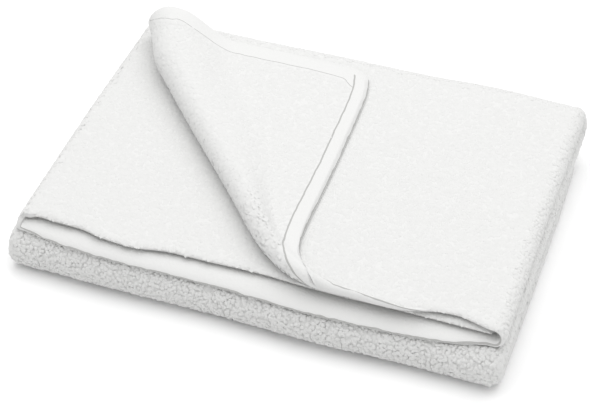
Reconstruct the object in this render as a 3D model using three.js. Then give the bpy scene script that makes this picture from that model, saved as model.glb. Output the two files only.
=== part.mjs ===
// A flat folded terry hand towel with the front corner of its top layer turned back.
// The towel is one rectangle of cloth. It is folded in three across its length and in
// three across its width, and one corner of the top layer is then turned back.
import * as THREE from 'three';

// Driving dimensions in millimetres
const clothThickness = 3.0;
const layerPitch = 3.74;
const packWidth = 238;
const foldSpacing = 155.25;
const frontFoldY = -1;
const hiddenEndX = 225;
const topEndX = 1;
const bottomDepth = 145.7;

const half = clothThickness / 2;
const backFoldY = frontFoldY + foldSpacing;
const leftFoldX = layerPitch / 2 + half;
const rightFoldX = packWidth - layerPitch - half;
const topGroupZ = 6 * layerPitch + half;
const frontFoldZ = 2.5 * layerPitch + half;
const backFoldZ = 5.5 * layerPitch + half;
const topSheetZ = topGroupZ + 2 * layerPitch;
const packHeight = topSheetZ + half;

function clamp(value, low, high) {
  return Math.min(high, Math.max(low, value));
}

function smooth(value) {
  const t = clamp(value, 0, 1);
  return t * t * (3 - 2 * t);
}

function mix(a, b, t) {
  return a + (b - a) * t;
}

// Reads a smooth curve through control points [position, value] at one position
function profile(points, position) {
  const at = clamp(position, points[0][0], points[points.length - 1][0]);
  let i = 1;
  while (i < points.length - 1 && points[i][0] < at) i += 1;
  const [a, b] = [points[i - 1], points[i]];
  const width = b[0] - a[0];
  const rise = (k) => (points[k][1] - points[k - 1][1]) / (points[k][0] - points[k - 1][0]);
  const before = i > 1 ? rise(i - 1) : 0;
  const after = i < points.length - 1 ? rise(i + 1) : 0;
  const slopeA = before * rise(i) > 0 ? (before + rise(i)) / 2 : 0;
  const slopeB = after * rise(i) > 0 ? (after + rise(i)) / 2 : 0;
  const t = (at - a[0]) / width;
  const start = (1 + 2 * t) * (1 - t) ** 2 * a[1] + t * (1 - t) ** 2 * width * slopeA;
  return start + t * t * (3 - 2 * t) * b[1] + t * t * (t - 1) * width * slopeB;
}

// A plan outline with its corners rounded off twice
function rounded(points) {
  let outline = points;
  for (let pass = 0; pass < 2; pass += 1) {
    const next = [outline[0]];
    for (let i = 1; i < outline.length; i += 1) {
      const [a, b] = [outline[i - 1], outline[i]];
      next.push([mix(a[0], b[0], 0.25), mix(a[1], b[1], 0.25)]);
      next.push([mix(a[0], b[0], 0.75), mix(a[1], b[1], 0.75)]);
    }
    next.push(outline[outline.length - 1]);
    outline = next;
  }
  return outline;
}

// Finds the point at a share of the length of a plan outline
function alongOutline(points, share) {
  const lengths = [0];
  for (let i = 1; i < points.length; i += 1) {
    const step = Math.hypot(points[i][0] - points[i - 1][0], points[i][1] - points[i - 1][1]);
    lengths.push(lengths[i - 1] + step);
  }
  const target = clamp(share, 0, 1) * lengths[lengths.length - 1];
  let i = 1;
  while (i < points.length - 1 && lengths[i] < target) i += 1;
  const t = (target - lengths[i - 1]) / (lengths[i] - lengths[i - 1]);
  return [mix(points[i - 1][0], points[i][0], t), mix(points[i - 1][1], points[i][1], t)];
}

// The crease of the turned corner: a straight run, a bend and a tail along the front edge
const creaseStart = [topEndX, backFoldY];
const creaseTurn = [120.1, 16];
const creaseRun = Math.hypot(creaseTurn[0] - creaseStart[0], creaseTurn[1] - creaseStart[1]);
const creaseAngle = Math.atan2(creaseStart[1] - creaseTurn[1], creaseTurn[0] - creaseStart[0]);
const bendRadius = 45;
const tailAngle = 0.026;
const bendLength = bendRadius * (creaseAngle - tailAngle);
const bendCentre = [
  creaseTurn[0] + bendRadius * Math.sin(creaseAngle),
  creaseTurn[1] + bendRadius * Math.cos(creaseAngle),
];
const tailStart = [
  bendCentre[0] - bendRadius * Math.sin(tailAngle),
  bendCentre[1] - bendRadius * Math.cos(tailAngle),
];
const tailLength = 53;
const creaseLength = creaseRun + bendLength + tailLength;
const lobeLength = 9;
const rollEnd = creaseRun + bendLength + 3;
const cornerAt = (backFoldY - frontFoldY) * Math.sin(creaseAngle);

// Point and outward direction of the crease at a length along it
function creaseAt(length) {
  let angle = creaseAngle;
  let x = creaseStart[0] + length * Math.cos(creaseAngle);
  let y = creaseStart[1] - length * Math.sin(creaseAngle);
  if (length > creaseRun) {
    const turned = Math.min(length - creaseRun, bendLength);
    angle = creaseAngle - turned / bendRadius;
    const rest = Math.max(0, length - creaseRun - bendLength);
    x = bendCentre[0] - bendRadius * Math.sin(angle) + rest * Math.cos(tailAngle);
    y = bendCentre[1] - bendRadius * Math.cos(angle) - rest * Math.sin(tailAngle);
  }
  return { x, y, nx: -Math.sin(angle), ny: -Math.cos(angle) };
}

// Length along the crease and distance outside it for a point of the flat top layer
function creaseCoordinates(x, y) {
  const dx = x - creaseStart[0];
  const dy = y - creaseStart[1];
  const along = dx * Math.cos(creaseAngle) - dy * Math.sin(creaseAngle);
  if (along <= creaseRun) {
    const away = -dx * Math.sin(creaseAngle) - dy * Math.cos(creaseAngle);
    return { along: Math.max(0, along), away };
  }
  const angle = Math.atan2(bendCentre[0] - x, bendCentre[1] - y);
  if (angle >= tailAngle) {
    const away = Math.hypot(x - bendCentre[0], y - bendCentre[1]) - bendRadius;
    return { along: creaseRun + (creaseAngle - angle) * bendRadius, away };
  }
  const tx = x - tailStart[0];
  const ty = y - tailStart[1];
  const rest = tx * Math.cos(tailAngle) - ty * Math.sin(tailAngle);
  const away = -tx * Math.sin(tailAngle) - ty * Math.cos(tailAngle);
  return { along: creaseRun + bendLength + Math.min(rest, tailLength), away };
}

// Radius of the soft roll along the crease
const rollRadius = [
  [0, 9.8], [30, 8.4], [90, 6.3], [150, 5.3], [175, 5], [185, 4.1], [195, 3], [205, 2.6],
  [215, 2.1], [225, 1.9], [300, 1.9],
];

// Arc length of the turned-up rim where the roll runs out along the front edge
const rimLength = [
  [rollEnd, 6], [rollEnd + 8, 5.2], [rollEnd + 17, 4.6], [rollEnd + 28, 3.8], [rollEnd + 40, 2.2],
  [creaseLength, 0],
];

// Plan outline of the turned corner: its back edge, its rounded tip and its right edge
const rollEndPoint = creaseAt(rollEnd);
const lobeEndPoint = creaseAt(lobeLength);
const backEdge = rounded([
  [lobeEndPoint.x, lobeEndPoint.y], [12, 151.5], [20, 152.6], [35, 152], [60, 151.2],
  [100, 150.9], [117, 150.3], [124, 148], [128, 143.4],
]);
const rightEdge = rounded([
  [128, 143.4], [130.8, 134], [131.8, 121], [132.6, 104], [133.6, 82], [133.9, 60],
  [133.8, 45], [133.7, 30], [134.4, 19], [136.6, 13], [139.6, 8.9], [143.4, 5.8],
  [148.4, 2.6], [rollEndPoint.x, rollEndPoint.y],
]);

// Distance from the crease to the edge of the flat top layer
function reach(length) {
  const k = creaseAt(length);
  const toSide = k.nx < 0 ? (k.x - topEndX) / -k.nx : Infinity;
  const toFront = k.ny < 0 ? (k.y - frontFoldY) / -k.ny : Infinity;
  return Math.max(0.01, Math.min(toSide, toFront));
}

// Place of a point of the top layer, on face offset h, after the corner is turned back
function turnedCorner(x, y, h) {
  const { along, away } = creaseCoordinates(x, y);
  if (away <= 0) return [x, y, topSheetZ + h];
  const k = creaseAt(along);
  const r = profile(rollRadius, along);
  const share = clamp(away / reach(along), 0, 1);
  let edge = [k.x, k.y];
  let arc = Math.PI * r;
  if (along < lobeLength) {
    arc = Math.PI * r * smooth(along / lobeLength);
  } else if (along < cornerAt) {
    edge = alongOutline(backEdge, (along - lobeLength) / (cornerAt - lobeLength));
  } else if (along < rollEnd) {
    edge = alongOutline(rightEdge, (along - cornerAt) / (rollEnd - cornerAt));
  } else {
    arc = profile(rimLength, along);
  }
  const run = Math.hypot(edge[0] - k.x, edge[1] - k.y);
  const travelled = share * (arc + run);
  if (travelled <= arc || run < 1e-6) {
    const angle = Math.min(travelled, arc) / r;
    return [
      k.x + k.nx * (r - h) * Math.sin(angle),
      k.y + k.ny * (r - h) * Math.sin(angle),
      topSheetZ + r - (r - h) * Math.cos(angle),
    ];
  }
  const q = travelled - arc;
  const drop = mix(30, 7, smooth((along - 110) / 75)) + 25 * smooth((75 - along) / 60);
  const z = topSheetZ + layerPitch + (2 * r - layerPitch) * (1 - smooth(q / drop));
  return [mix(k.x, edge[0], q / run), mix(k.y, edge[1], q / run), z - h];
}

// Front margins of the hidden layer, the layer under it and the top layer, along the towel.
// Each is a path length past the top of the front fold, negative where the cloth droops.
const hiddenMargin = [
  [0, 0], [5, -0.2], [10, 0.9], [19, 0.5], [30, 0.7], [42, -0.8], [58, -1.4], [79, 1],
  [95, 1], [113, 2.1], [128, 2.6], [145, 2.4], [225, 1],
];
const middleMargin = [
  [-2, -4.2], [2, -4.6], [11, -5.9], [21, -7.3], [43, -8.45], [180, -8.45], [194, -8.2],
  [206, -7.4], [219, -5.3], [228, -2.8], [236, -2.4],
];
const topMargin = [
  [165, 0], [178, -0.7], [190, -0.4], [199, 1.6], [207, 2.8], [215, 3.3], [222, 1.9], [233, -0.4],
];

function frontEdge(column) {
  const hidden = profile(hiddenMargin, column.x);
  const lowest = profile(middleMargin, column.x);
  if (column.part === 'S') return hidden;
  if (column.part === 'P') return lowest;
  if (column.part === 'T') return 0;
  if (column.part === 'left') return mix(hidden, lowest, smooth(column.turn));
  return mix(lowest, -0.4, smooth(column.turn));
}

// How far the top layer is drawn to the right at the back end of the crease
function pullIn(x, y) {
  return 11 * smooth((48 - Math.hypot(x - creaseStart[0], y - creaseStart[1])) / 45);
}

// Columns run along the towel: hidden layer S, left fold, layer P, right fold, top layer T
const columns = [];

function addRun(part, from, to, count, level, up, first) {
  for (let i = first; i <= count; i += 1) {
    columns.push({ part, x: mix(from, to, i / count), o: level, nx: 0, no: up, turn: 0, index: i });
  }
}

function addFold(part, centreX, centreO, radius, from, count) {
  for (let i = 1; i < count; i += 1) {
    const angle = from + (Math.PI * i) / count;
    columns.push({
      part,
      x: centreX + radius * Math.cos(angle),
      o: centreO + radius * Math.sin(angle),
      nx: Math.cos(angle),
      no: Math.sin(angle),
      turn: i / count,
      index: i,
    });
  }
}

const rightColumns = 8;
const rollColumns = 16;
const flapColumns = 8;
const topColumns = rightColumns + rollColumns + flapColumns;
addRun('S', hiddenEndX, leftFoldX, 6, layerPitch, 1, 0);
addFold('left', leftFoldX, layerPitch / 2, layerPitch / 2, Math.PI / 2, 5);
addRun('P', leftFoldX, rightFoldX, 7, 0, -1, 0);
addFold('right', rightFoldX, layerPitch, layerPitch, 1.5 * Math.PI, 6);
addRun('T', rightFoldX, topEndX, topColumns, 2 * layerPitch, 1, 0);

// Columns of the top layer crowd together at the roll of the turned corner
function topColumnX(index, y) {
  let creaseX = creaseStart[0] + (creaseStart[1] - Math.min(y, backFoldY)) / Math.tan(creaseAngle);
  if (y < creaseTurn[1]) {
    const level = Math.min(bendRadius, bendCentre[1] - y);
    creaseX = bendCentre[0] - Math.sqrt(bendRadius ** 2 - level ** 2);
  }
  creaseX = Math.max(creaseX + 2, 20);
  const wanted = mix(26, 44, smooth((30 - y) / 30));
  const rollX = creaseX - Math.min(wanted, 0.6 * (creaseX - topEndX));
  if (index <= rightColumns) return mix(rightFoldX, creaseX, index / rightColumns);
  if (index <= rightColumns + rollColumns) {
    return mix(creaseX, rollX, (index - rightColumns) / rollColumns);
  }
  return mix(rollX, topEndX, (index - rightColumns - rollColumns) / flapColumns);
}

// Rows run across the towel from the front edge of the top group to the bottom group
const rows = [];
const topRows = [
  0, 0.4, 0.9, 1.5, 2.2, 3, 4, 5.2, 6.6, 8.2, 10, 12.5, 16, 21, 28, 38, 51, 66, 81, 96, 110, 122,
  131, 137, 141.5, 145, 148, 150.3, 152.2, 153.8, foldSpacing,
];
for (const y of topRows) rows.push({ stage: 'top', y });
const foldSteps = 7;
for (let i = 1; i <= foldSteps; i += 1) rows.push({ stage: 'back', turn: i / foldSteps });
for (let i = 1; i <= 3; i += 1) rows.push({ stage: 'middle', y: foldSpacing * (1 - i / 3) });
for (let i = 1; i <= foldSteps; i += 1) rows.push({ stage: 'front', turn: i / foldSteps });
for (let i = 1; i <= 3; i += 1) rows.push({ stage: 'bottom', y: (bottomDepth * i) / 3 });

// Small lift of the hidden layer that opens the crevice at the front left
function crevice(x, y) {
  return 0.2 * smooth((52 - x) / 46) * smooth((40 - y) / 36);
}

// Slow unevenness of the whole pack, none at the surface it rests on
function settle(point) {
  const [x, y, z] = point;
  const rise = clamp(z / packHeight, 0, 1.4);
  const wave = 0.5 * Math.sin(x / 41 + 0.9) * Math.cos(y / 47 - 0.4)
    + 0.35 * Math.sin(x / 19 + y / 27) - 0.5;
  const corner = 1.6 * smooth((x - 150) / 50) * smooth((y - 90) / 60);
  const lean = 0.5 * Math.sin(y / 33 + z / 14);
  const side = (2 * x) / packWidth - 1;
  const bulge = 3.4 * side ** 3 * (1 - smooth((z - 18) / 10));
  const dent = 1.4 * Math.exp(-(((x - 158) / 45) ** 2)) * smooth((20 - y) / 20);
  const push = 0.5 * Math.sin(x / 15 + 1.2) - dent;
  const gate = smooth(z / 8);
  return [x + lean * gate + bulge, y + push * gate, z + rise * (wave + corner)];
}

// Share of its thickness that the cloth keeps near a free edge
function rounding(distance) {
  return 0.3 + 0.7 * Math.sqrt(1 - (1 - clamp(distance / 2.6, 0, 1)) ** 2);
}

// Place of one vertex of the cloth: column, row and side of the cloth, 1 or -1
function place(column, row, face) {
  let x = column.x;
  if (column.part === 'T') {
    x = topColumnX(column.index, row.stage === 'top' ? row.y + frontFoldY : backFoldY);
  }
  let toEdge = Infinity;
  if (column.part === 'S') toEdge = hiddenEndX - x;
  if (column.part === 'T') toEdge = x - topEndX;
  if (row.stage === 'top') toEdge = Math.min(toEdge, row.y);
  if (row.stage === 'bottom') toEdge = Math.min(toEdge, bottomDepth - row.y);
  const h = face * half * rounding(toEdge);
  if (column.part === 'T' && row.stage === 'top') {
    const [tx, ty, tz] = turnedCorner(x, row.y + frontFoldY, h);
    const margin = profile(topMargin, tx) * (1 - smooth((ty - frontFoldY) / 14));
    return settle([tx + pullIn(tx, ty), ty + margin, tz]);
  }
  let o = column.o + h * column.no;
  if (row.stage === 'top') {
    const w = row.y + frontEdge(column) * (1 - smooth(row.y / 19));
    x += h * column.nx;
    if (column.part !== 'right') o *= 1 + crevice(x, w);
    if (w >= 0) return settle([x, frontFoldY + w, topGroupZ + o]);
    const radius = 3.5 * layerPitch + o;
    const angle = -w / (3.5 * layerPitch);
    return settle([
      x, frontFoldY - radius * Math.sin(angle), frontFoldZ + radius * Math.cos(angle),
    ]);
  }
  if (row.stage === 'back') {
    const pull = column.part === 'T' ? pullIn(x, backFoldY) * (1 - smooth(row.turn)) : 0;
    const radius = layerPitch / 2 + o;
    const angle = Math.PI * row.turn;
    return settle([
      x + h * column.nx + pull, backFoldY + radius * Math.sin(angle),
      backFoldZ + radius * Math.cos(angle),
    ]);
  }
  x += h * column.nx;
  if (row.stage === 'middle') {
    return settle([x, frontFoldY + row.y, 5 * layerPitch + half - o]);
  }
  if (row.stage === 'front') {
    const radius = 2.5 * layerPitch - o;
    const angle = Math.PI * row.turn;
    return settle([x, frontFoldY - radius * Math.sin(angle), frontFoldZ + radius * Math.cos(angle)]);
  }
  return settle([x, frontFoldY + row.y, half + o]);
}

// Vertices of both faces, then the faces and the four edges of the cloth
const positions = [];
for (const face of [1, -1]) {
  for (const row of rows) {
    for (const column of columns) positions.push(place(column, row, face));
  }
}
const across = columns.length;
const down = rows.length;
const faceStride = across * down;
const triangles = [];

function addQuad(a, b, c, d) {
  triangles.push(a, b, c, a, c, d);
}

for (let i = 0; i < down - 1; i += 1) {
  for (let j = 0; j < across - 1; j += 1) {
    const a = i * across + j;
    addQuad(a, a + 1, a + across + 1, a + across);
    addQuad(
      faceStride + a, faceStride + a + across, faceStride + a + across + 1, faceStride + a + 1,
    );
  }
}
for (let j = 0; j < across - 1; j += 1) {
  const last = (down - 1) * across + j;
  addQuad(j + 1, j, faceStride + j, faceStride + j + 1);
  addQuad(last, last + 1, faceStride + last + 1, faceStride + last);
}
for (let i = 0; i < down - 1; i += 1) {
  const a = i * across;
  const b = a + across - 1;
  addQuad(a, a + across, faceStride + a + across, faceStride + a);
  addQuad(b + across, b, faceStride + b, faceStride + b + across);
}

// The origin is the centre of the bounding box at the surface the towel rests on
const low = [Infinity, Infinity, Infinity];
const high = [-Infinity, -Infinity, -Infinity];
for (const point of positions) {
  for (let axis = 0; axis < 3; axis += 1) {
    low[axis] = Math.min(low[axis], point[axis]);
    high[axis] = Math.max(high[axis], point[axis]);
  }
}
const shift = [(low[0] + high[0]) / 2, (low[1] + high[1]) / 2, low[2]];
const coordinates = positions.flatMap((p) => [p[0] - shift[0], p[1] - shift[1], p[2] - shift[2]]);

// The winding is turned over if the volume comes out negative
let volume = 0;
for (let i = 0; i < triangles.length; i += 3) {
  const [a, b, c] = [0, 1, 2].map((n) => {
    const at = triangles[i + n] * 3;
    return new THREE.Vector3(coordinates[at], coordinates[at + 1], coordinates[at + 2]);
  });
  volume += a.dot(b.cross(c)) / 6;
}
if (volume < 0) triangles.reverse();

const geometry = new THREE.BufferGeometry();
geometry.setAttribute('position', new THREE.Float32BufferAttribute(coordinates, 3));
geometry.setIndex(triangles);
geometry.computeVertexNormals();

const cotton = new THREE.MeshStandardMaterial({ color: 0xf2f1ee, roughness: 0.95, metalness: 0 });
const towel = new THREE.Mesh(geometry, cotton);
towel.name = 'towel';

const group = new THREE.Group();
group.add(towel);
export default group;
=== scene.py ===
"""A white terry hand towel, folded flat, with one corner of its top layer turned back."""
import math

import bpy
import numpy as np
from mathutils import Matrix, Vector


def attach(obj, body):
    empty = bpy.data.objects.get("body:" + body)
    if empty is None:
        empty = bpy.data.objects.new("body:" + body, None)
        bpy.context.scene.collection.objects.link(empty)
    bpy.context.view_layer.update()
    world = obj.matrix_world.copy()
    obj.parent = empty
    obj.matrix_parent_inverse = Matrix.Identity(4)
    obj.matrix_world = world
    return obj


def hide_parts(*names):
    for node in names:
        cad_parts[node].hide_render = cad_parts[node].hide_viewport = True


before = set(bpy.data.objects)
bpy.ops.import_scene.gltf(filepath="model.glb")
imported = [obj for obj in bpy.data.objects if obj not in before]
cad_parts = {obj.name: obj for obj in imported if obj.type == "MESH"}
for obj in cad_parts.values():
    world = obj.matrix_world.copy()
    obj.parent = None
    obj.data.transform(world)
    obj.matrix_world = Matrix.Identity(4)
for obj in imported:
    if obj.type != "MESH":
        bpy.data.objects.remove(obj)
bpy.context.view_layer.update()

# The fold of the towel, in millimetres, with the same named values as its solid
CLOTH_THICKNESS = 3.0
LAYER_PITCH = 3.74
PACK_WIDTH = 238.0
FOLD_SPACING = 155.25
FRONT_FOLD_Y = -1.0
HIDDEN_END_X = 231.0
TOP_END_X = 1.0
BOTTOM_DEPTH = 145.7
HALF = CLOTH_THICKNESS / 2
# Half the thickness of the woven ground, which the pile makes up to the whole
GROUND_HALF = 1.3
BACK_FOLD_Y = FRONT_FOLD_Y + FOLD_SPACING
LEFT_FOLD_X = LAYER_PITCH / 2 + HALF
RIGHT_FOLD_X = PACK_WIDTH - LAYER_PITCH - HALF
TOP_GROUP_Z = 6 * LAYER_PITCH + HALF
FRONT_FOLD_Z = 2.5 * LAYER_PITCH + HALF
BACK_FOLD_Z = 5.5 * LAYER_PITCH + HALF
TOP_SHEET_Z = TOP_GROUP_Z + 2 * LAYER_PITCH
PACK_HEIGHT = TOP_SHEET_Z + HALF
# Middle of the solid's box in the plan of the fold
CENTRE_X = 119.084
CENTRE_Y = 76.150

# The crease of the turned corner
CREASE_START = (TOP_END_X, BACK_FOLD_Y)
CREASE_TURN = (117.2, 19.4)
CREASE_RUN = math.hypot(CREASE_TURN[0] - CREASE_START[0], CREASE_TURN[1] - CREASE_START[1])
CREASE_ANGLE = math.atan2(CREASE_START[1] - CREASE_TURN[1], CREASE_TURN[0] - CREASE_START[0])
BEND_RADIUS = 55.0
TAIL_ANGLE = 0.026
TAIL_LENGTH = 49.0
BEND_LENGTH = BEND_RADIUS * (CREASE_ANGLE - TAIL_ANGLE)
BEND_X = CREASE_TURN[0] + BEND_RADIUS * math.sin(CREASE_ANGLE)
BEND_Y = CREASE_TURN[1] + BEND_RADIUS * math.cos(CREASE_ANGLE)
TAIL_X = BEND_X - BEND_RADIUS * math.sin(TAIL_ANGLE)
TAIL_Y = BEND_Y - BEND_RADIUS * math.cos(TAIL_ANGLE)
CREASE_LENGTH = CREASE_RUN + BEND_LENGTH + TAIL_LENGTH
LOBE_LENGTH = 9.0
ROLL_END = CREASE_RUN + BEND_LENGTH - 1.0
CORNER_AT = (BACK_FOLD_Y - FRONT_FOLD_Y) * math.sin(CREASE_ANGLE)

# Radius of the roll, and length of cloth in its low rim at the front, by length along the crease
ROLL_RADIUS = [
    (0, 9.8), (30, 8.4), (90, 6.3), (150, 5.4), (175, 5.3), (185, 4.7), (195, 3.8), (205, 3.2),
    (215, 2.5), (225, 2.0), (300, 1.9),
]
RIM_LENGTH = [
    (ROLL_END, 6.0), (ROLL_END + 8, 5.2), (ROLL_END + 17, 4.6), (ROLL_END + 28, 3.8),
    (ROLL_END + 40, 2.2), (CREASE_LENGTH, 0),
]
# Length over which the turned corner comes down from its roll: in its middle, at its front, and
# what is added at its back
DROP_MIDDLE = 30.0
DROP_FRONT = 7.0
DROP_BACK_EXTRA = 25.0
# How far the free edge of the turned corner sinks on to the cloth below, and over which width
EDGE_SINK = 1.3
EDGE_SINK_WIDTH = 3.5
# How far the top layer is drawn to the right at the back end of the crease
DRAWN_IN = 11.0
# Front margins of the three layers of the top group, as path length past the top of the front fold
HIDDEN_MARGIN = [
    (0, 0), (5, -0.2), (10, 0.9), (19, 0.5), (30, 0.7), (42, -0.8), (58, -1.4), (79, 1.0),
    (95, 1.0), (113, 2.1), (128, 2.6), (145, 2.4), (225, 1.0),
]
MIDDLE_MARGIN = [
    (-2, -4.2), (2, -4.6), (11, -5.9), (21, -7.3), (43, -8.45), (180, -8.45), (194, -8.2),
    (206, -7.4), (219, -5.3), (228, -2.8), (236, -2.4),
]
TOP_MARGIN = [
    (165, 0), (178, -0.7), (190, -0.4), (199, 1.6), (207, 2.8), (215, 3.3), (222, 1.9), (233, -0.4),
]

# A distance from a free edge that is past any hem
FAR = 200.0

# Unevenness of the folded towel
WAVE_HEIGHT = 0.5
RIPPLE_HEIGHT = 0.35
CORNER_RISE = 1.6
SIDE_LEAN = 0.5
SWELL_LEFT = 3.4
SWELL_RIGHT = 1.2
FRONT_RIPPLE = 0.5
FRONT_HOLLOW = 1.4
CREVICE_LIFT = 0.2
# The cloth thins to this share of its thickness over this width at a free edge
EDGE_SHARE = 0.3
EDGE_WIDTH = 2.6

# Hems of the side, of the side on the lower layer and of the end
SIDE_HEM = 7.5
LOWER_SIDE_HEM = 11.5
END_HEM = 12.0
# How far the lines of the hems wander, in metres
HEM_WANDER = 0.0009

# Repeats of the patterns in a metre of cloth: threads about 1.1 mm apart, the wander of the hem
# lines about every 6 mm, and patches of shade in the pile about every 2.4 mm
WEAVE_REPEATS = 900.0
WANDER_REPEATS = 160.0
SHADE_REPEATS = 420.0

# Pile. It is drawn in tufts far coarser than real loops, so that they show at all
PILE_SPACING = 1.55
TUFT_SIDES = 5
TUFT_WIDTHS = (0.75, 1.1)
TUFT_HEIGHTS = (0.7, 1.3)
TUFT_LEANS = (0.2, 1.2)
TUFT_LONG = 1.15
TUFT_NARROW = 0.85
# Rings of one tuft: height, radius and how far the tuft has bent over, all in shares
TUFT_RINGS = [(-0.4, 1.0, 0.0), (0.45, 0.8, 0.15), (0.85, 0.5, 0.35), (1.0, 0.0, 0.45)]
TOP_PILE = 0.13
TURNED_PILE = 0.14
LOWER_EDGE_PILE = 0.35
FRONT_PILE = 0.95
BACK_PILE = 0.35
SIDE_PILE = 0.4


def smooth(value):
    """Eases from 0 to 1 as the value goes from 0 to 1."""
    t = np.clip(value, 0, 1)
    return t * t * (3 - 2 * t)


def mix(a, b, t):
    """Goes from a to b as t goes from 0 to 1."""
    return a + (b - a) * t


def profile(points, position):
    """Reads a smooth curve through control points at many positions."""
    xs = np.array([p[0] for p in points], float)
    ys = np.array([p[1] for p in points], float)
    rise = np.diff(ys) / np.diff(xs)
    slope = np.concatenate([[0], np.where(rise[1:] * rise[:-1] > 0, (rise[1:] + rise[:-1]) / 2, 0), [0]])
    at = np.clip(position, xs[0], xs[-1])
    i = np.clip(np.searchsorted(xs, at) - 1, 0, len(xs) - 2)
    width = xs[i + 1] - xs[i]
    t = (at - xs[i]) / width
    start = (1 + 2 * t) * (1 - t) ** 2 * ys[i] + t * (1 - t) ** 2 * width * slope[i]
    end = t * t * (3 - 2 * t) * ys[i + 1] + t * t * (t - 1) * width * slope[i + 1]
    return start + end


def rounded(points):
    """A plan outline with its corners rounded off twice."""
    p = np.array(points, float)
    for _ in range(2):
        early = 0.75 * p[:-1] + 0.25 * p[1:]
        late = 0.25 * p[:-1] + 0.75 * p[1:]
        p = np.concatenate([p[:1], np.stack([early, late], axis=1).reshape(-1, 2), p[-1:]])
    return [tuple(v) for v in p.tolist()]


def along_outline(points, share):
    """Points at a share of the length of a plan outline."""
    p = np.array(points, float)
    steps = np.hypot(*np.diff(p, axis=0).T)
    at = np.concatenate([[0], np.cumsum(steps)])
    wanted = np.clip(share, 0, 1) * at[-1]
    return np.interp(wanted, at, p[:, 0]), np.interp(wanted, at, p[:, 1])


def crease_at(length):
    """Point and outward direction of the crease at lengths along it."""
    turned = np.clip(length - CREASE_RUN, 0, BEND_LENGTH)
    angle = CREASE_ANGLE - turned / BEND_RADIUS
    rest = np.maximum(0, length - CREASE_RUN - BEND_LENGTH)
    straight = length <= CREASE_RUN
    x = np.where(
        straight,
        CREASE_START[0] + length * math.cos(CREASE_ANGLE),
        BEND_X - BEND_RADIUS * np.sin(angle) + rest * math.cos(TAIL_ANGLE),
    )
    y = np.where(
        straight,
        CREASE_START[1] - length * math.sin(CREASE_ANGLE),
        BEND_Y - BEND_RADIUS * np.cos(angle) - rest * math.sin(TAIL_ANGLE),
    )
    return x, y, -np.sin(angle), -np.cos(angle)


def crease_coordinates(x, y):
    """Length along the crease and distance outside it for points of the flat top layer."""
    dx = x - CREASE_START[0]
    dy = y - CREASE_START[1]
    c, s = math.cos(CREASE_ANGLE), math.sin(CREASE_ANGLE)
    run_along = dx * c - dy * s
    run_away = -dx * s - dy * c
    angle = np.arctan2(BEND_X - x, BEND_Y - y)
    bend_along = CREASE_RUN + (CREASE_ANGLE - angle) * BEND_RADIUS
    bend_away = np.hypot(x - BEND_X, y - BEND_Y) - BEND_RADIUS
    tc, ts = math.cos(TAIL_ANGLE), math.sin(TAIL_ANGLE)
    rest = (x - TAIL_X) * tc - (y - TAIL_Y) * ts
    tail_away = -(x - TAIL_X) * ts - (y - TAIL_Y) * tc
    tail_along = CREASE_RUN + BEND_LENGTH + np.minimum(rest, TAIL_LENGTH)
    on_run = run_along <= CREASE_RUN
    on_bend = angle >= TAIL_ANGLE
    along = np.where(on_run, np.maximum(0, run_along), np.where(on_bend, bend_along, tail_along))
    away = np.where(on_run, run_away, np.where(on_bend, bend_away, tail_away))
    return along, away


END_X, END_Y, _, _ = (float(v) for v in crease_at(np.float64(ROLL_END)))
LOBE_X, LOBE_Y, _, _ = (float(v) for v in crease_at(np.float64(LOBE_LENGTH)))
BACK_EDGE = rounded([
    (LOBE_X, LOBE_Y), (12, 151.5), (20, 152.6), (35, 152), (60, 151.2), (100, 150.9),
    (117, 150.3), (124, 148), (128, 143.4),
])
RIGHT_EDGE = rounded([
    (128, 143.4), (130.8, 134), (131.8, 121), (132.6, 104), (133.6, 82), (133.9, 60),
    (133.8, 45), (133.7, 30), (134.4, 19), (136.6, 13), (139.6, 8.9), (143.4, 5.8), (148.4, 2.6),
    (END_X, END_Y),
])


def outline_distance(points, x, y):
    """Distance of points from a plan outline."""
    best = np.full(x.shape, 1e9)
    for (ax, ay), (bx, by) in zip(points, points[1:]):
        length2 = (bx - ax) ** 2 + (by - ay) ** 2
        t = np.clip(((x - ax) * (bx - ax) + (y - ay) * (by - ay)) / length2, 0, 1)
        best = np.minimum(best, np.hypot(x - ax - t * (bx - ax), y - ay - t * (by - ay)))
    return best


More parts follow.
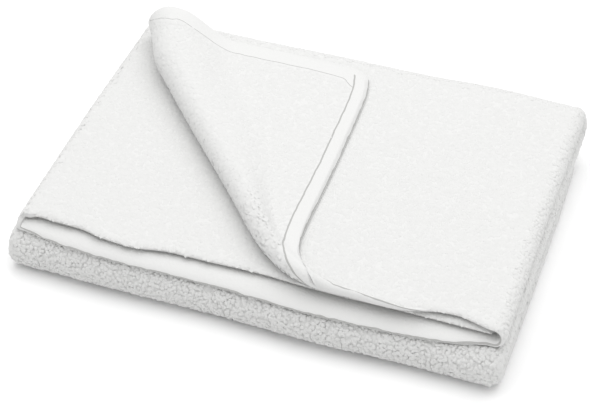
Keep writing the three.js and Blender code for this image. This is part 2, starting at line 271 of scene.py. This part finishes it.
def turned_corner(x, y, h):
    """Places points of the top layer on face offset h, and gives their distances from the hems."""
    along, away = crease_coordinates(x, y)
    kx, ky, nx, ny = crease_at(along)
    r = profile(ROLL_RADIUS, along)
    to_side = np.where(nx < 0, (kx - TOP_END_X) / np.maximum(-nx, 1e-9), 1e9)
    to_front = np.where(ny < 0, (ky - FRONT_FOLD_Y) / np.maximum(-ny, 1e-9), 1e9)
    reach = np.maximum(0.01, np.minimum(to_side, to_front))
    share = np.clip(away / reach, 0, 1)
    arc = math.pi * r * smooth(along / LOBE_LENGTH)
    arc = np.where(along >= LOBE_LENGTH, math.pi * r, arc)
    arc = np.where(along >= ROLL_END, profile(RIM_LENGTH, along), arc)
    bx, by = along_outline(BACK_EDGE, (along - LOBE_LENGTH) / (CORNER_AT - LOBE_LENGTH))
    fx, fy = along_outline(RIGHT_EDGE, (along - CORNER_AT) / (ROLL_END - CORNER_AT))
    lies = (along >= LOBE_LENGTH) & (along < ROLL_END)
    ex = np.where(lies, np.where(along < CORNER_AT, bx, fx), kx)
    ey = np.where(lies, np.where(along < CORNER_AT, by, fy), ky)
    run = np.hypot(ex - kx, ey - ky)
    travelled = share * (arc + run)
    angle = np.minimum(travelled, arc) / r
    rolled = (travelled <= arc) | (run < 1e-6)
    q = np.maximum(0, travelled - arc)
    part = q / np.maximum(run, 1e-6)
    drop = mix(DROP_MIDDLE, DROP_FRONT, smooth((along - 110) / 75))
    drop = drop + DROP_BACK_EXTRA * smooth((75 - along) / 60)
    lie_z = TOP_SHEET_Z + LAYER_PITCH + (2 * r - LAYER_PITCH) * (1 - smooth(q / drop))
    sink = EDGE_SINK * (1 - smooth((run - q) / EDGE_SINK_WIDTH)) * smooth(q / 3) * smooth(run / 9)
    lie_z = lie_z - sink
    px = np.where(rolled, kx + nx * (r - h) * np.sin(angle), mix(kx, ex, part))
    py = np.where(rolled, ky + ny * (r - h) * np.sin(angle), mix(ky, ey, part))
    pz = np.where(rolled, TOP_SHEET_Z + r - (r - h) * np.cos(angle), lie_z - h)
    flat = away <= 0
    px = np.where(flat, x, px)
    py = np.where(flat, y, py)
    pz = np.where(flat, TOP_SHEET_Z + h, pz)
    back = np.where(flat, 1e3, np.maximum(0, arc - travelled))
    mx = np.where(rolled, kx, px)
    my = np.where(rolled, ky, py)
    end_edge = np.where(flat, x - TOP_END_X, outline_distance(BACK_EDGE, mx, my) + back)
    side_edge = np.where(flat, y - FRONT_FOLD_Y, outline_distance(RIGHT_EDGE, mx, my) + back)
    rim = (~flat) & (along >= ROLL_END)
    side_edge = np.where(rim, arc - travelled, side_edge)
    return px, py, pz, end_edge, side_edge


def front_edge(part, x, turn):
    """Front margin of each layer, as path length past the top of the front fold."""
    hidden = profile(HIDDEN_MARGIN, x)
    lowest = profile(MIDDLE_MARGIN, x)
    result = np.where(part == "S", hidden, np.where(part == "P", lowest, 0.0))
    result = np.where(part == "left", mix(hidden, lowest, smooth(turn)), result)
    return np.where(part == "right", mix(lowest, -0.4, smooth(turn)), result)


def pull_in(x, y):
    """Moves the top layer to the right near the back end of the crease."""
    away = np.hypot(x - CREASE_START[0], y - CREASE_START[1])
    return DRAWN_IN * smooth((48 - away) / 45)


def settle(x, y, z):
    """Slow unevenness of the whole pack. Nothing is lifted off the surface it rests on."""
    rise = np.clip(z / PACK_HEIGHT, 0, 1.4)
    wave = WAVE_HEIGHT * np.sin(x / 41 + 0.9) * np.cos(y / 47 - 0.4)
    wave = wave + RIPPLE_HEIGHT * np.sin(x / 19 + y / 27) - WAVE_HEIGHT
    corner = CORNER_RISE * smooth((x - 150) / 50) * smooth((y - 90) / 60)
    lean = SIDE_LEAN * np.sin(y / 33 + z / 14)
    side = (x - PACK_WIDTH / 2) / (PACK_WIDTH / 2)
    swell = np.where(side > 0, SWELL_RIGHT, SWELL_LEFT) * side ** 3 * (1 - smooth((z - 18) / 10))
    hollow = FRONT_HOLLOW * np.exp(-((x - 158) / 45) ** 2) * smooth((20 - y) / 20)
    push = FRONT_RIPPLE * np.sin(x / 15 + 1.2) - hollow
    gate = smooth(z / 8)
    return x + lean * gate + swell, y + push * gate, z + rise * (wave + corner)


# Columns of the top layer: right of the crease, round the roll, and on to the free end
RIGHT_COLUMNS = 42
ROLL_COLUMNS = 26
FLAP_COLUMNS = 40


def cloth_columns():
    """Columns along the towel: hidden layer S, left fold, layer P, right fold, top layer T."""
    found = []

    def run(part, start, end, count, level, up):
        for i in range(count + 1):
            found.append((part, mix(start, end, i / count), level, 0.0, up, 0.0, i))

    def fold(part, x, o, radius, start, count):
        for i in range(1, count):
            a = start + math.pi * i / count
            found.append((
                part, x + radius * math.cos(a), o + radius * math.sin(a),
                math.cos(a), math.sin(a), i / count, i,
            ))

    top = RIGHT_COLUMNS + ROLL_COLUMNS + FLAP_COLUMNS
    run("S", HIDDEN_END_X, LEFT_FOLD_X, 90, LAYER_PITCH, 1.0)
    fold("left", LEFT_FOLD_X, LAYER_PITCH / 2, LAYER_PITCH / 2, math.pi / 2, 10)
    run("P", LEFT_FOLD_X, RIGHT_FOLD_X, 60, 0.0, -1.0)
    fold("right", RIGHT_FOLD_X, LAYER_PITCH, LAYER_PITCH, 1.5 * math.pi, 12)
    run("T", RIGHT_FOLD_X, TOP_END_X, top, 2 * LAYER_PITCH, 1.0)
    return found


def cloth_rows():
    """Rows across the towel, from the front edge of the top group to the bottom group."""
    near = [14 * (i / 30) ** 2.2 for i in range(30)]
    far = list(np.arange(14, 140, 2.25))
    lobe = list(np.arange(140, FOLD_SPACING, 0.9)) + [FOLD_SPACING]
    rows = [("top", y) for y in near + far + lobe]
    rows += [("back", i / 16) for i in range(1, 17)]
    rows += [("middle", FOLD_SPACING * (1 - i / 4)) for i in range(1, 5)]
    rows += [("front", i / 20) for i in range(1, 21)]
    rows += [("bottom", BOTTOM_DEPTH * i / 4) for i in range(1, 5)]
    return rows


def top_column_x(index, y):
    """Columns of the top layer crowd together at the roll of the turned corner."""
    fall = CREASE_START[0] + (CREASE_START[1] - np.minimum(y, BACK_FOLD_Y)) / math.tan(CREASE_ANGLE)
    level = np.clip(BEND_Y - y, 0, BEND_RADIUS)
    bend = BEND_X - np.sqrt(BEND_RADIUS ** 2 - level ** 2)
    crease_x = np.maximum(np.where(y > CREASE_TURN[1], fall, bend) + 2, 20)
    wanted = mix(26, 44, smooth((30 - y) / 30))
    roll_x = crease_x - np.minimum(wanted, 0.6 * (crease_x - TOP_END_X))
    first = mix(RIGHT_FOLD_X, crease_x, index / RIGHT_COLUMNS)
    second = mix(crease_x, roll_x, (index - RIGHT_COLUMNS) / ROLL_COLUMNS)
    third = mix(roll_x, TOP_END_X, (index - RIGHT_COLUMNS - ROLL_COLUMNS) / FLAP_COLUMNS)
    return np.where(
        index <= RIGHT_COLUMNS, first, np.where(index <= RIGHT_COLUMNS + ROLL_COLUMNS, second, third)
    )


def crevice(x, y):
    """Lift of the hidden layer that opens the left crevice."""
    return CREVICE_LIFT * smooth((52 - x) / 46) * smooth((40 - y) / 36)


def rounding(distance):
    """How far the cloth keeps its thickness near a free edge."""
    inside = 1 - np.clip(distance / EDGE_WIDTH, 0, 1)
    return EDGE_SHARE + (1 - EDGE_SHARE) * np.sqrt(1 - inside ** 2)


def place(columns, rows, h):
    """Places of all points on one face of the cloth, and their distances from the free edges."""
    part = np.array([c[0] for c in columns])[None, :]
    cx, co, cnx, cno, turn = (
        np.array([c[k] for c in columns], float)[None, :] for k in (1, 2, 3, 4, 5)
    )
    index = np.array([c[6] for c in columns], float)[None, :]
    stage = np.array([r[0] for r in rows])[:, None]
    along = np.array([r[1] for r in rows], float)[:, None]
    shape = (len(rows), len(columns))
    y_top = np.where(stage == "top", along + FRONT_FOLD_Y, BACK_FOLD_Y)
    is_top_layer = (part == "T") & np.ones(shape, bool)
    tx = np.broadcast_to(top_column_x(index, y_top), shape)
    x = np.where(is_top_layer, tx, cx)
    end_distance = np.where(part == "T", x - TOP_END_X, FAR)
    end_distance = np.where(part == "S", HIDDEN_END_X - cx, end_distance)
    from_front = along + np.where(part == "T", 0.0, 3.0 * smooth((8 - cx) / 6))
    row_distance = np.where(stage == "bottom", BOTTOM_DEPTH - along, FAR)
    row_distance = np.where(stage == "top", from_front, row_distance)
    h = h * rounding(np.minimum(end_distance, row_distance))
    x_out = x + h * cnx
    o = co + h * cno + np.zeros(shape)
    w = along + front_edge(part, cx, turn) * (1 - smooth(along / 19))
    lifted = o * (1 + crevice(x_out, w))
    o_top = np.where(part == "right", o, lifted)
    radius = 3.5 * LAYER_PITCH + o_top
    droop = np.maximum(0, -w) / (3.5 * LAYER_PITCH)
    y = np.where(w >= 0, FRONT_FOLD_Y + w, FRONT_FOLD_Y - radius * np.sin(droop))
    z = np.where(w >= 0, TOP_GROUP_Z + o_top, FRONT_FOLD_Z + radius * np.cos(droop))
    end_edge = end_distance + np.zeros(shape)
    side_edge = np.where(stage == "top", along * SIDE_HEM / LOWER_SIDE_HEM, FAR)
    angle = math.pi * along
    back_r = LAYER_PITCH / 2 + o
    front_r = 2.5 * LAYER_PITCH - o
    y = np.where(stage == "back", BACK_FOLD_Y + back_r * np.sin(angle), y)
    z = np.where(stage == "back", BACK_FOLD_Z + back_r * np.cos(angle), z)
    y = np.where(stage == "middle", FRONT_FOLD_Y + along, y)
    z = np.where(stage == "middle", 5 * LAYER_PITCH + HALF - o, z)
    y = np.where(stage == "front", FRONT_FOLD_Y - front_r * np.sin(angle), y)
    z = np.where(stage == "front", FRONT_FOLD_Z + front_r * np.cos(angle), z)
    y = np.where(stage == "bottom", FRONT_FOLD_Y + along, y)
    z = np.where(stage == "bottom", HALF + o, z)
    side_edge = np.where(stage == "bottom", BOTTOM_DEPTH - along, side_edge)
    fx, fy, fz, fe, fs = turned_corner(tx, y_top + np.zeros(shape), h)
    turned = is_top_layer & (stage == "top")
    margin = profile(TOP_MARGIN, fx) * (1 - smooth((fy - FRONT_FOLD_Y) / 14))
    x_out = np.where(turned, fx + pull_in(fx, fy), x_out)
    behind = is_top_layer & (stage == "back")
    x_out = np.where(behind, x_out + pull_in(x, BACK_FOLD_Y) * (1 - smooth(along)), x_out)
    y = np.where(turned, fy + margin, y)
    z = np.where(turned, fz, z)
    end_edge = np.where(turned, fe, end_edge)
    side_edge = np.where(turned, fs, side_edge)
    x_out, y, z = settle(x_out, y, z)
    points = np.stack([x_out - CENTRE_X, y - CENTRE_Y, z], axis=-1) * 0.001
    return points.reshape(-1, 3), end_edge.ravel() * 0.001, side_edge.ravel() * 0.001


def pile_regions(columns, rows):
    """The parts of the towel that show pile, with the face, the height of pile and the quads."""
    part = np.array([c[0] for c in columns])[None, :]
    stage = np.array([r[0] for r in rows])[:, None]
    along = np.array([r[1] for r in rows], float)[:, None]
    index = np.array([c[6] for c in columns], float)[None, :]
    y = np.where(stage == "top", along + FRONT_FOLD_Y, BACK_FOLD_Y)
    top_x = top_column_x(index, y)
    _, top_away = crease_coordinates(top_x, y + 0 * top_x)
    plain_x = np.array([c[1] for c in columns], float)[None, :]
    _, hidden_away = crease_coordinates(plain_x + 0 * y, y + 0 * plain_x)
    edge = np.array(RIGHT_EDGE)
    flap_x = np.interp(y, edge[::-1, 1], edge[::-1, 0])
    top = stage == "top"
    under_flap = (top_x < flap_x - 4) & (y < 147)
    fold = (part == "left") | (part == "right")
    return {
        "pile_top_layer": (1, TOP_PILE, top & (part == "T") & (top_away <= 0) & ~under_flap),
        "pile_turned_corner": (-1, TURNED_PILE, top & (part == "T") & (top_away > 0)),
        "pile_left_layer": (1, TOP_PILE, top & (part == "S") & (hidden_away > -6)),
        "pile_lower_edge": (-1, LOWER_EDGE_PILE, top & (part == "P") & (along < 14)),
        "pile_front_fold": (1, FRONT_PILE, (stage == "front") & (part == "P")),
        "pile_back_fold": (1, BACK_PILE, (stage == "back") & (part == "T")),
        "pile_sides": (1, SIDE_PILE, fold & np.ones(y.shape, bool)),
    }


def pile_places(face, other, side, end, shown, hemmed, rng):
    """Random even places of tufts on the quads that show, with the way that they stand."""

    def corners(values):
        whole = [values[:-1, :-1], values[:-1, 1:], values[1:, :-1], values[1:, 1:]]
        return [v[shown] for v in whole]

    p, to_side, to_end = corners(face), corners(side), corners(end)
    outward = corners(face - other)[0]
    normal = np.cross(p[3] - p[0], p[2] - p[1])
    area = 0.5 * np.linalg.norm(normal, axis=-1)
    normal *= np.sign(np.sum(normal * outward, axis=-1, keepdims=True))
    normal /= np.linalg.norm(normal, axis=-1, keepdims=True)
    columns = np.ceil(np.linalg.norm(p[1] - p[0], axis=-1) / PILE_SPACING).astype(int)
    rows = np.ceil(np.linalg.norm(p[2] - p[0], axis=-1) / PILE_SPACING).astype(int)
    chance = area / (columns * rows * PILE_SPACING ** 2)
    places, ways = [], []
    for i in range(columns.max()):
        for j in range(rows.max()):
            use = (i < columns) & (j < rows) & (rng.random(len(area)) < chance)
            u = (i + rng.random(use.sum())) / columns[use]
            v = (j + rng.random(use.sum())) / rows[use]
            shares = [(1 - u) * (1 - v), u * (1 - v), (1 - u) * v, u * v]
            spot = sum(w[:, None] * c[use] for w, c in zip(shares, p))
            from_side = sum(w * c[use] for w, c in zip(shares, to_side))
            from_end = sum(w * c[use] for w, c in zip(shares, to_end))
            above_table = spot[:, 2] + normal[use][:, 2] > 0.9
            keep = (np.minimum(from_side, from_end) > 0.2) & above_table
            if hemmed:
                keep &= (from_side > SIDE_HEM + 1.5) & (from_end > END_HEM + 1.2)
            places.append(spot[keep])
            ways.append(normal[use][keep])
    return np.concatenate(places), np.concatenate(ways)


def make_tufts(name, places, ways, pile_height, rng):
    """One patch of pile: short soft tufts, each of its own size and leaning its own way."""
    count = len(places)
    way = ways / np.linalg.norm(ways, axis=-1, keepdims=True)
    lean = np.cross(way, rng.normal(size=(count, 3)))
    lean /= np.linalg.norm(lean, axis=-1, keepdims=True)
    side = np.cross(way, lean)
    radius = PILE_SPACING * rng.uniform(*TUFT_WIDTHS, (count, 1))
    height = pile_height * rng.uniform(*TUFT_HEIGHTS, (count, 1))
    bend = rng.uniform(*TUFT_LEANS, (count, 1))
    rings = []
    for level, width, lean_share in TUFT_RINGS:
        centre = places + way * height * level + lean * radius * bend * lean_share
        for k in range(TUFT_SIDES if width else 1):
            a = 2 * math.pi * k / TUFT_SIDES
            offset = lean * TUFT_LONG * math.cos(a) + side * TUFT_NARROW * math.sin(a)
            rings.append(centre + offset * radius * width)
    points = np.stack(rings, axis=1).reshape(-1, 3) * 0.001
    first = np.arange(count)[:, None] * len(rings)
    faces = []
    for ring in range(len(TUFT_RINGS) - 2):
        for k in range(TUFT_SIDES):
            a = ring * TUFT_SIDES + k
            b = ring * TUFT_SIDES + (k + 1) % TUFT_SIDES
            faces += (first + np.array([a, b, b + TUFT_SIDES, a + TUFT_SIDES])).tolist()
    last = (len(TUFT_RINGS) - 2) * TUFT_SIDES
    for k in range(TUFT_SIDES):
        b = last + (k + 1) % TUFT_SIDES
        faces += (first + np.array([last + k, b, last + TUFT_SIDES])).tolist()
    mesh = bpy.data.meshes.new(name)
    mesh.from_pydata(points.tolist(), [], faces)
    mesh.polygons.foreach_set("use_smooth", np.ones(len(faces), bool))
    mesh.update()
    obj = bpy.data.objects.new(name, mesh)
    bpy.context.scene.collection.objects.link(obj)
    return obj


def make_pile(columns, rows, outer, inner):
    """All the pile that shows, as one piece for each part of the towel."""
    rng = np.random.default_rng(7)
    shape = (len(rows), len(columns))
    faces = {1: outer, -1: inner}
    pieces = []
    for name, (way, height, shown) in pile_regions(columns, rows).items():
        points, end, side = faces[way]
        face = points.reshape(*shape, 3) * 1000
        other = faces[-way][0].reshape(*shape, 3) * 1000
        end = end.reshape(shape) * 1000
        side = side.reshape(shape) * 1000
        quads = shown[:-1, :-1]
        places, ways = pile_places(face, other, side, end, quads, way < 0, rng)
        pieces.append(make_tufts(name, places, ways, height, rng))
    return pieces


def cloth_faces(down, across):
    """Quads of both faces and of the four edges of a closed sheet of points in rows."""
    i, j = np.meshgrid(np.arange(down - 1), np.arange(across - 1), indexing="ij")
    a = (i * across + j).ravel()
    s = down * across
    upper = np.stack([a, a + 1, a + across + 1, a + across], axis=1)
    lower = upper[:, ::-1] + s
    j = np.arange(across - 1)
    last = (down - 1) * across + j
    front = np.stack([j + 1, j, s + j, s + j + 1], axis=1)
    back = np.stack([last, last + 1, s + last + 1, s + last], axis=1)
    i = np.arange(down - 1) * across
    e = i + across - 1
    left = np.stack([i, i + across, s + i + across, s + i], axis=1)
    right = np.stack([e + across, e, s + e, s + e + across], axis=1)
    return np.concatenate([upper, lower, front, back, left, right])


def make_cloth():
    """The whole towel as one closed sheet that keeps its distances from the free edges."""
    columns, rows = cloth_columns(), cloth_rows()
    outer = place(columns, rows, GROUND_HALF)
    inner = place(columns, rows, -GROUND_HALF)
    points = np.concatenate([outer[0], inner[0]])
    faces = cloth_faces(len(rows), len(columns))
    mesh = bpy.data.meshes.new("towel_cloth")
    mesh.from_pydata(points.tolist(), [], faces.tolist())
    reverse = np.concatenate([np.zeros(len(outer[0])), np.ones(len(inner[0]))])
    named = {
        "end_edge": np.concatenate([outer[1], inner[1]]),
        "side_edge": np.concatenate([outer[2], inner[2]]),
        "reverse_face": reverse,
    }
    for name, values in named.items():
        attribute = mesh.attributes.new(name, "FLOAT", "POINT")
        attribute.data.foreach_set("value", values.astype(np.float32))
    mesh.update()
    obj = bpy.data.objects.new("towel_cloth", mesh)
    bpy.context.scene.collection.objects.link(obj)
    bpy.ops.object.select_all(action="DESELECT")
    obj.select_set(True)
    bpy.context.view_layer.objects.active = obj
    bpy.ops.object.mode_set(mode="EDIT")
    bpy.ops.mesh.select_all(action="SELECT")
    bpy.ops.mesh.normals_make_consistent(inside=False)
    bpy.ops.object.mode_set(mode="OBJECT")
    bpy.ops.object.shade_smooth_by_angle(angle=math.radians(50))
    return obj, make_pile(columns, rows, outer, inner)


def linear(hex_code):
    """Turns an sRGB hex colour to linear values."""
    values = [int(hex_code[i:i + 2], 16) / 255 for i in (1, 3, 5)]
    return [v / 12.92 if v <= 0.04045 else ((v + 0.055) / 1.055) ** 2.4 for v in values] + [1.0]


def add_node(tree, kind, settings=None, **inputs):
    """Adds a shader node, gives it its settings, and sets or links its inputs."""
    node = tree.nodes.new(kind)
    for name, value in (settings or {}).items():
        setattr(node, name, value)
    for name, value in inputs.items():
        key = int(name[1:]) if name[0] == "i" and name[1:].isdigit() else name.replace("_", " ")
        socket = node.inputs[key]
        if isinstance(value, bpy.types.NodeSocket):
            tree.links.new(value, socket)
        else:
            socket.default_value = value
    return node


def cotton_terry():
    """Woven white cotton: dull and matt, with flat hems, a grey line of stitches along each, and a painted
    shadow line along the free edges.
    """
    material = bpy.data.materials.new("cotton_terry")
    material.use_nodes = True
    tree = material.node_tree
    tree.nodes.clear()
    out = add_node(tree, "ShaderNodeOutputMaterial")
    place_at = add_node(tree, "ShaderNodeTexCoord").outputs["Object"]
    reverse, side, end = (
        add_node(tree, "ShaderNodeAttribute", {"attribute_name": name}).outputs["Fac"]
        for name in ("reverse_face", "side_edge", "end_edge")
    )
    reverse = add_node(tree, "ShaderNodeMath", {"operation": "POWER"}, i0=reverse, i1=8.0).outputs[0]
    wander = add_node(tree, "ShaderNodeTexNoise", Vector=place_at, Scale=WANDER_REPEATS, Detail=1.0)
    # Each dark line: what it follows, how far in, its half width, and where it starts. The first two are
    # the stitch lines of the side and end hems; the third, at the free edge itself, is a painted shadow of
    # the edge
    lines = (
        (side, SIDE_HEM, 0.4, end, 6.0), (end, END_HEM, 0.18, side, SIDE_HEM), (side, 0.0, 0.35, end, 0.0),
    )
    stitches_and_edge_shadow = None
    for distance, at, width, across, start in lines:
        shifted = add_node(
            tree, "ShaderNodeMath", {"operation": "MULTIPLY_ADD"}, i0=wander.outputs["Fac"],
            i1=HEM_WANDER, i2=distance,
        )
        line = add_node(
            tree, "ShaderNodeMath", {"operation": "COMPARE"}, i0=shifted.outputs[0],
            i1=at * 0.001 + HEM_WANDER / 2, i2=width * 0.001,
        )
        past = add_node(
            tree, "ShaderNodeMath", {"operation": "GREATER_THAN"}, i0=across, i1=start * 0.001,
        )
        line = add_node(
            tree, "ShaderNodeMath", {"operation": "MULTIPLY"}, i0=line.outputs[0], i1=past.outputs[0],
        )
        if stitches_and_edge_shadow:
            line = add_node(
                tree, "ShaderNodeMath", {"operation": "MAXIMUM"}, i0=stitches_and_edge_shadow.outputs[0], i1=line.outputs[0],
            )
        stitches_and_edge_shadow = line
    stitches_and_edge_shadow = add_node(tree, "ShaderNodeMath", {"operation": "MULTIPLY"}, i0=stitches_and_edge_shadow.outputs[0], i1=reverse)
    weave = add_node(tree, "ShaderNodeTexNoise", Vector=place_at, Scale=WEAVE_REPEATS, Detail=2.0)
    height = add_node(
        tree, "ShaderNodeMath", {"operation": "MULTIPLY_ADD"}, i0=stitches_and_edge_shadow.outputs[0], i1=-1.0,
        i2=weave.outputs["Fac"],
    )
    bump = add_node(tree, "ShaderNodeBump", Strength=0.5, Distance=0.0005, Height=height.outputs[0])
    # Grey where the stitches run, and the same grey along each free edge as a painted shadow of the edge
    colour = add_node(
        tree, "ShaderNodeMix", {"data_type": "RGBA"}, Factor=stitches_and_edge_shadow.outputs[0],
        i6=linear("#dcdcdb"), i7=linear("#b0b0ae"),
    )
    surface = add_node(
        tree, "ShaderNodeBsdfPrincipled", Base_Color=colour.outputs[2], Roughness=0.9,
        Normal=bump.outputs[0],
    )
    surface.inputs["Sheen Weight"].default_value = 0.15
    surface.inputs["Sheen Roughness"].default_value = 0.5
    tree.links.new(surface.outputs[0], out.inputs["Surface"])
    return material


def cotton_pile():
    """Looped cotton yarn: soft and matt, a little uneven in shade, with a faint sheen at grazing light."""
    material = bpy.data.materials.new("cotton_pile")
    material.use_nodes = True
    tree = material.node_tree
    tree.nodes.clear()
    out = add_node(tree, "ShaderNodeOutputMaterial")
    place_at = add_node(tree, "ShaderNodeTexCoord").outputs["Object"]
    shade = add_node(tree, "ShaderNodeTexNoise", Vector=place_at, Scale=SHADE_REPEATS, Detail=2.0)
    colour = add_node(
        tree, "ShaderNodeMix", {"data_type": "RGBA"}, Factor=shade.outputs["Fac"],
        i6=linear("#d4d4d3"), i7=linear("#dddddc"),
    )
    surface = add_node(tree, "ShaderNodeBsdfPrincipled", Base_Color=colour.outputs[2], Roughness=0.95)
    surface.inputs["Sheen Weight"].default_value = 0.15
    surface.inputs["Sheen Roughness"].default_value = 0.5
    tree.links.new(surface.outputs[0], out.inputs["Surface"])
    return material


def paper_white():
    """Plain matt white paper under the towel."""
    material = bpy.data.materials.new("paper_white")
    material.use_nodes = True
    surface = material.node_tree.nodes["Principled BSDF"]
    surface.inputs["Base Color"].default_value = linear("#fbfbfb")
    surface.inputs["Roughness"].default_value = 1.0
    surface.inputs["Specular IOR Level"].default_value = 0.0
    return material


def make_floor():
    """The plain surface that the towel lies on."""
    bpy.ops.object.select_all(action="DESELECT")
    bpy.ops.mesh.primitive_plane_add(size=8.0, location=(0, 0, 0))
    floor = bpy.context.object
    floor.name = "floor"
    floor.data.materials.append(paper_white())


# Camera: direction in degrees, distance in metres, lens in millimetres, and the point it looks at
CAMERA_AZIMUTH = 19.43
CAMERA_ELEVATION = 42.93
CAMERA_DISTANCE = 0.87614
CAMERA_LENS = 109.83
SENSOR_WIDTH = 36
LOOK_AT = (117.04, 61.7, 17.0)

# Light: strength of the room, and place, size and watts of the lamp
ROOM_STRENGTH = 0.7
LAMP_PLACE = (0.0, 0.15, 0.96)
LAMP_SIZE = 1.4
LAMP_WATTS = 9.0


def make_camera():
    """A long lens at the photograph's viewing angle."""
    azimuth, elevation = math.radians(CAMERA_AZIMUTH), math.radians(CAMERA_ELEVATION)
    back = Vector((
        math.sin(azimuth) * math.cos(elevation),
        -math.cos(azimuth) * math.cos(elevation),
        math.sin(elevation),
    ))
    target = Vector((LOOK_AT[0] - CENTRE_X, LOOK_AT[1] - CENTRE_Y, LOOK_AT[2])) * 0.001
    bpy.ops.object.camera_add(location=target + back * CAMERA_DISTANCE)
    camera = bpy.context.object
    camera.rotation_mode = "QUATERNION"
    camera.rotation_quaternion = (-back).to_track_quat("-Z", "Y")
    camera.data.sensor_width = SENSOR_WIDTH
    camera.data.lens = CAMERA_LENS
    bpy.context.scene.camera = camera


def make_light():
    """A bright even room, and one large soft lamp above the towel and a little behind it."""
    world = bpy.data.worlds.new("studio")
    bpy.context.scene.world = world
    world.use_nodes = True
    world.node_tree.nodes["Background"].inputs["Color"].default_value = linear("#ffffff")
    world.node_tree.nodes["Background"].inputs["Strength"].default_value = ROOM_STRENGTH
    bpy.ops.object.light_add(type="AREA", location=LAMP_PLACE)
    lamp = bpy.context.object
    lamp.data.size = LAMP_SIZE
    lamp.data.energy = LAMP_WATTS
    lamp.rotation_mode = "QUATERNION"
    lamp.rotation_quaternion = (-Vector(LAMP_PLACE)).to_track_quat("-Z", "Y")


make_camera()
make_floor()
make_light()
cloth, pile = make_cloth()
cloth.data.materials.append(cotton_terry())
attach(cloth, "root")
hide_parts("towel")
cotton_loops = cotton_pile()
for patch in pile:
    patch.data.materials.append(cotton_loops)
    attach(patch, "root")
bpy.context.scene.view_settings.view_transform = "Standard"
